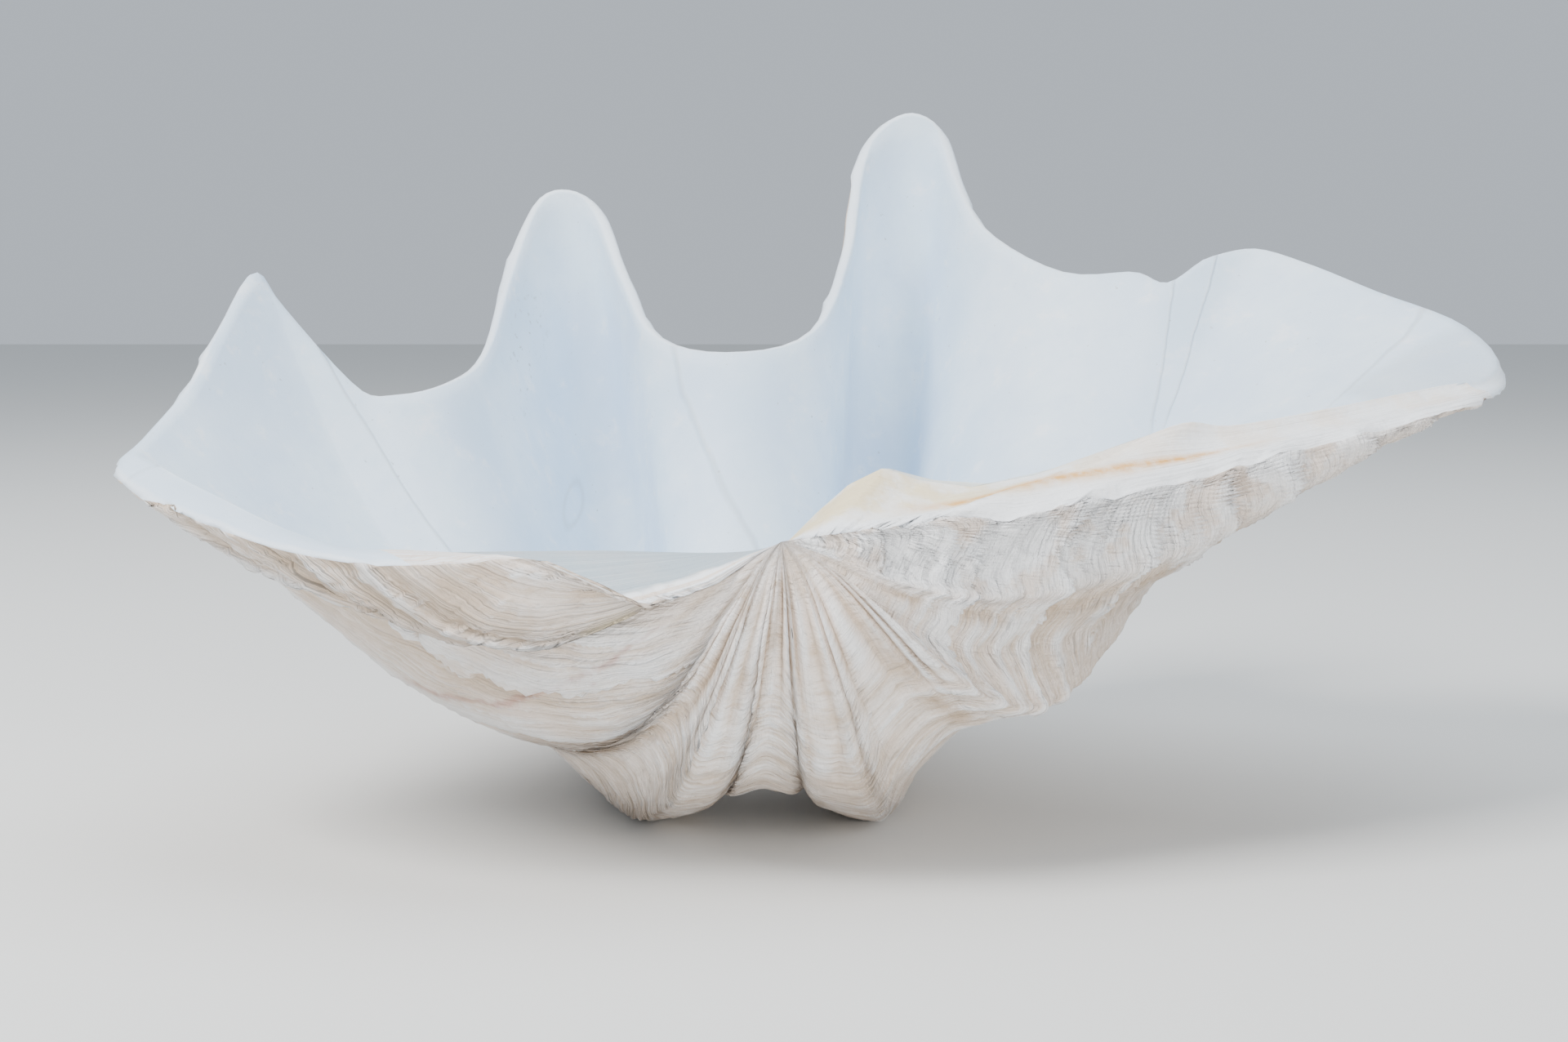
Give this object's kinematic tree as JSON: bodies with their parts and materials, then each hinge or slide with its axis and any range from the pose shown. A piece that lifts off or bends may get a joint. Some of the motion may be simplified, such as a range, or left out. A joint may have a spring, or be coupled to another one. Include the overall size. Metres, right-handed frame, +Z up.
{
  "type": "giant clam shell half",
  "caption": "Single half of a giant clam shell, a deep fluted bowl with tall rounded fingers along its far edge and a thick hinge plate.",
  "frame": {"origin": "middle of the footprint, on the surface it lies on", "axes": "+Z up out of the bowl, +X along its length, towards the end with the hinge plate's long arm, +Y from the hinge to the fingered edge"},
  "size_m": [0.5718, 0.418, 0.3075],
  "materials": {
    "shell": "matte, smooth inside and chalky outside"
  },
  "bodies": {
    "root": {"clam_shell": "shell"}
  },
  "joints": []
}
